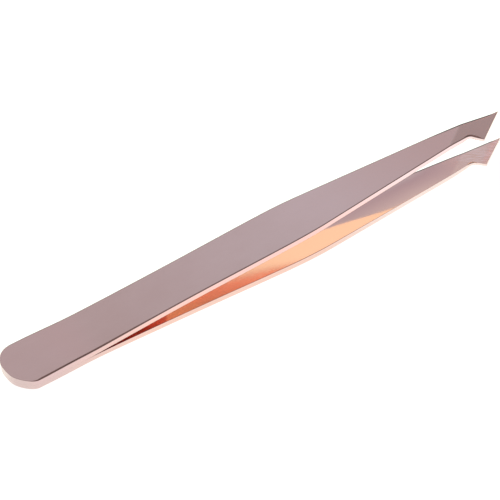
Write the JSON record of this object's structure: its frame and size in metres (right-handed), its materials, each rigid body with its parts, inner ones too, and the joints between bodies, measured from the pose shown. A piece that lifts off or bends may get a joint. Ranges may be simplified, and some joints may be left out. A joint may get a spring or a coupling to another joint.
{
  "type": "slant tweezers",
  "caption": "Slant tweezers: slim bent arms of sheet metal joined at a rounded heel, tapering to slanted gripping tips that spring apart.",
  "frame": {"origin": "centre of the overall box, on the plane that the two arms mirror each other in", "axes": "+X along the tweezers towards the tips, +Y across the arms, +Z from the lower arm towards the upper arm"},
  "size_m": [0.095, 0.0098, 0.0074],
  "materials": {
    "plated_steel": "mirror-polished rose-gold plating on stainless spring steel",
    "weld_steel": "bare cast weld metal"
  },
  "bodies": {
    "heel": {"upper_arm_root": "plated_steel", "lower_arm_root": "plated_steel", "weld_nugget_rear": "weld_steel", "weld_nugget_front": "weld_steel"},
    "upper_arm": {"upper_arm_blade": "plated_steel"},
    "lower_arm": {"lower_arm_blade": "plated_steel"}
  },
  "joints": [
    {"name": "upper_arm_flex", "type": "hinge", "parent": "heel", "child": "upper_arm", "pos_m": [-0.021, 0, 0.00103], "axis": [0, 1, 0], "range_deg": [0, 2.3], "stiffness_Nm_per_rad": 1.7},
    {"name": "lower_arm_flex", "type": "hinge", "parent": "heel", "child": "lower_arm", "pos_m": [-0.021, 0, -0.00103], "axis": [0, -1, 0], "range_deg": [0, 2.3], "stiffness_Nm_per_rad": 1.7}
  ]
}
